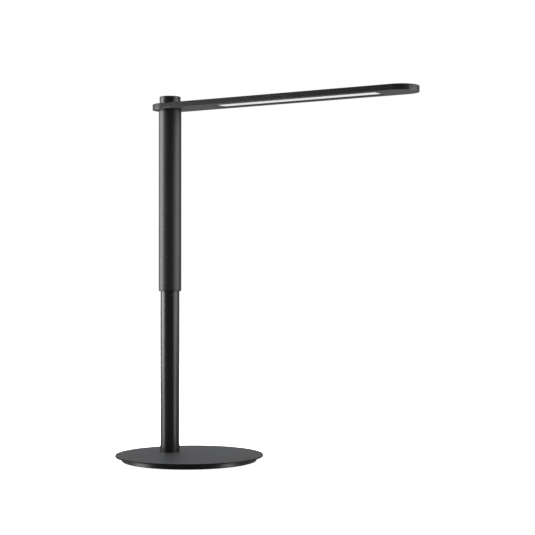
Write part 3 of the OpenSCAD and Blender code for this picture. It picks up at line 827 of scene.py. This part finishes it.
def makeCap():
    _, radius, bottom, top = plan("cap_shell")
    under = top - cap["topThickness"]
    piece = asObject("capShell", sweep([
        (radius, bottom, cap["underRound"]), (radius, top, cap["topRound"]),
        (cap["hole"], top, cap["holeRound"]), (cap["hole"], under, 0), (cap["ledge"], under, 0),
        (cap["ledge"], cap["ledgeHeight"], 0), (cap["inside"], cap["ledgeHeight"], 0),
        (cap["inside"], bottom, cap["insideRound"])], stemAxis))
    finishPiece(piece, satinLacquer, "arm", "satin_black_aluminium", "cap_shell")
    holdFlats(piece)


button = {
    "radius": 8.4, "flange": 10.2, "flangeTop": 478.3, "flangeRound": 0.15, "edgeRound": 0.5,
    # the hollow in its top: how far in from the edge, depth and rounding, then depth in the middle
    "dish": ((1.6, 0.06, 0.4), (4.5, 0.2, 1.2)), "dishDepth": 0.25,
}


def makeButton():
    _, _, bottom, top = plan("power_button")
    radius, flange, flangeTop = button["radius"], button["flange"], button["flangeTop"]
    dish = [(radius - inward, top - depth, rounding) for inward, depth, rounding in button["dish"]]
    piece = asObject("powerButton", sweep([
        (0, bottom, 0), (flange, bottom, button["flangeRound"]),
        (flange, flangeTop, button["flangeRound"]), (radius, flangeTop, 0),
        (radius, top, button["edgeRound"]), *dish, (0, top - button["dishDepth"], 0)], stemAxis))
    finishPiece(piece, satinLacquer, "button", "satin_black_aluminium", "power_button")
    holdFlats(piece)


waveSpring = {"inner": 7.0, "outer": 8.2, "thickness": 0.25, "waves": 3, "swell": 0.82,
              "steps": 120, "travel": 0.7}


def makeWaveSpring():
    # a flat ring that rises and falls round its circle, made as it stands while the button is up
    centre, _, bottom, top = plan("button_spring")
    mesh = bmesh.new()
    rings = []
    half = waveSpring["thickness"] / 2
    section = ((waveSpring["inner"], -half), (waveSpring["outer"], -half),
               (waveSpring["outer"], half), (waveSpring["inner"], half))
    for i in range(waveSpring["steps"]):
        angle = 2 * math.pi * i / waveSpring["steps"]
        height = (bottom + top) / 2 + waveSpring["swell"] * math.sin(waveSpring["waves"] * angle)
        rings.append([mesh.verts.new((radius * mm * math.cos(angle), radius * mm * math.sin(angle),
                                      (height + lift) * mm)) for radius, lift in section])
    for i, here in enumerate(rings):
        following = rings[(i + 1) % len(rings)]
        for k in range(4):
            n = (k + 1) % 4
            mesh.faces.new((here[k], following[k], following[n], here[n]))
    bmesh.ops.recalc_face_normals(mesh, faces=mesh.faces)
    piece = asObject("waveSpring", mesh)
    placeAt(piece, centre)
    finishPiece(piece, zincPlate, "arm", "zinc_steel", "button_spring")
    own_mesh(piece)


makeCap()
makeButton()
makeWaveSpring()
print("cap and button made")


# Inner pieces keep their own shapes and take their real finishes

innerFinish = {
    zincPlate: ("base_screws", "foot_bolt", "foot_washer", "stop_ring", "turn_rail", "stop_pin",
                "disc_spring", "pivot_bolt", "drive_pin", "nut_washer", "pivot_nut"),
    turnedBrass: ("inlet_pin",),
    turnedAluminium: ("head_plug",),
    blackAcetal: ("driver_parts", "upper_guide", "pivot_bush", "thrust_washer", "switch_housing"),
    whitePolyamide: ("leds", "lead_connector", "switch_plunger"),
    softVinyl: ("inlet_lead", "stem_lead", "led_lead", "switch_lead"),
    greenBoard: ("driver_board", "switch_board"),
    whiteBoard: ("led_board",),
    woolFelt: ("brake_ring",),
}
for finish, names in innerFinish.items():
    for name in names:
        cadNodes[name].data.materials.clear()
        cadNodes[name].data.materials.append(finish)
print("inner pieces finished")


# Studio

studio = {
    "middle": (0.0, 0.0),  # the point on the table that the boxes stand round
    # degrees from the camera's side, distance, height of its middle, width, height, watts, lights
    "boxes": (
        ("leftBox", -94.0, 1.0, 0.70, 0.76, 1.30, 22.5, "stem"),
        ("leftCard", -82.0, 1.0, -0.27, 0.50, 0.62, 3.4, "all"),
        ("rightBox", 80.0, 1.0, 0.72, 1.06, 1.26, 13.0, "stem"),
        ("rightCard", 70.0, 1.0, -0.265, 0.38, 0.71, 2.7, "all"),
        ("armLeft", -94.0, 1.0, 0.08, 0.76, 0.86, 30.0, "arm"),
        ("armRight", 80.0, 2.4, -0.29, 2.54, 1.82, 116.0, "arm"),
        ("capLeft", -94.0, 2.4, 0.27, 1.82, 0.74, 98.0, "cap"),
        ("capRight", 76.0, 2.4, 0.27, 2.54, 0.74, 68.0, "cap"),
        ("topBox", 180.0, 0.3, 2.2, 1.6, 1.6, 15.0, "all"),
        ("topFill", 180.0, 0.3, 2.2, 1.6, 1.6, 30.0, "all"),
        ("plateFill", 180.0, 0.3, 2.2, 1.6, 1.6, 76.0, "plate"),
    ),
    "aimTop": 0.9,  # highest point that a box is aimed at
    # a flat top mirrors a high box at a grazing angle and turns nearly white, so the flat pieces
    # have boxes of their own, which stay lower or show no reflection
    "flat": {"arm": ("armShell",), "cap": ("capShell", "powerButton"), "plate": ("basePlate",)},
    "backdrop": 1.0, "roomFront": 0.12, "roomBack": 0.28, "roomSpan": (-0.6, 0.8),
    "floorSize": 60.0,  # metres
    "floorTop": -0.2, "floorThickness": 9.8, "floorGrain": 4.0,  # millimetres
    "floorWhite": "#f4f4f4", "floorGlow": 0.9,
}
cameraTurn = math.radians(cameraSettings["turn"])
behind = Vector((-math.sin(cameraTurn), math.cos(cameraTurn), 0))


def linkBox(box, lit):
    # a box lights one group of flat pieces only, or everything that is in no such group
    group = bpy.data.collections.new(box.name + " pieces")
    names = studio["flat"].get(lit) or sum(studio["flat"].values(), ())
    for name in names:
        group.objects.link(bpy.data.objects[name])
    for entry in group.collection_objects:
        entry.light_linking.link_state = "INCLUDE" if lit in studio["flat"] else "EXCLUDE"
    box.light_linking.receiver_collection = group


def makeBoxes():
    # soft boxes at the left, at the right and above, with small cards low at both sides for the
    # light that a pale table would throw back; the fills light without being mirrored
    middle = Vector(studio["middle"])
    for name, side, distance, height, width, tall, power, lit in studio["boxes"]:
        data = bpy.data.lights.new(name, "AREA")
        data.shape = "RECTANGLE"
        data.size, data.size_y, data.energy = width, tall, power
        box = bpy.data.objects.new(name, data)
        angle = math.radians(cameraSettings["turn"] + side)
        box.location = (middle.x + distance * math.sin(angle),
                        middle.y - distance * math.cos(angle), height)
        target = Vector((middle.x, middle.y, min(height, studio["aimTop"])))
        box.rotation_euler = (target - box.location).to_track_quat("-Z", "Y").to_euler()
        box.visible_camera = False
        box.visible_glossy = not name.endswith("Fill")
        bpy.context.collection.objects.link(box)
        if lit != "all":
            linkBox(box, lit)


def makeRoom():
    # a white backdrop for the eye; the lamp reflects a dim room that is paler behind it
    world = bpy.data.worlds.new("room")
    bpy.context.scene.world = world
    world.use_nodes = True
    tree = world.node_tree
    tree.nodes.clear()
    place = addNode(tree, "ShaderNodeTexCoord")
    depth = addNode(tree, "ShaderNodeVectorMath", {"operation": "DOT_PRODUCT", 1: behind},
                    {0: place.outputs["Generated"]})
    front, back = studio["roomSpan"]
    level = addNode(tree, "ShaderNodeMapRange",
                    {"From Min": front, "From Max": back, "To Min": studio["roomFront"],
                     "To Max": studio["roomBack"]}, {"Value": depth.outputs["Value"]})
    room = addNode(tree, "ShaderNodeBackground", links={"Strength": level.outputs[0]})
    backdrop = addNode(tree, "ShaderNodeBackground", {"Strength": studio["backdrop"]})
    for node in (room, backdrop):
        node.inputs["Color"].default_value = (1, 1, 1, 1)
    eye = addNode(tree, "ShaderNodeLightPath")
    mix = addNode(tree, "ShaderNodeMixShader", links={0: eye.outputs["Is Camera Ray"],
                                                      1: room.outputs[0], 2: backdrop.outputs[0]})
    addNode(tree, "ShaderNodeOutputWorld", links={"Surface": mix.outputs[0]})


def makeFloor():
    # a pale matt floor that only the eye sees, so it doesn't light the lamp from below
    half, top = studio["floorSize"] / 2 / mm, studio["floorTop"]
    floor = asObject("floor", prism([(-half, -half), (half, -half), (half, half), (-half, half)],
                                    top - studio["floorThickness"], top))
    material, tree, place = startMaterial("pale floor")
    grain = addNode(tree, "ShaderNodeTexNoise",
                    {"Scale": perMetre(studio["floorGrain"]), "Detail": 2.0}, {"Vector": place})
    bump = addNode(tree, "ShaderNodeBump", {"Strength": 0.05, "Distance": 0.05 * mm},
                   {"Height": grain.outputs[0]})
    shader = addNode(tree, "ShaderNodeBsdfPrincipled",
                     {"Base Color": colour(studio["floorWhite"]), "Roughness": 0.9,
                      "Specular IOR Level": 0.0, "Emission Color": (1, 1, 1, 1),
                      "Emission Strength": studio["floorGlow"]}, {"Normal": bump.outputs[0]})
    addNode(tree, "ShaderNodeOutputMaterial", links={"Surface": shader.outputs[0]})
    floor.data.materials.append(material)
    floor.visible_diffuse = floor.visible_glossy = False
    floor.visible_shadow = floor.visible_transmission = False


makeBoxes()
makeRoom()
makeFloor()
bpy.context.scene.view_settings.view_transform = "Standard"
print("studio made")
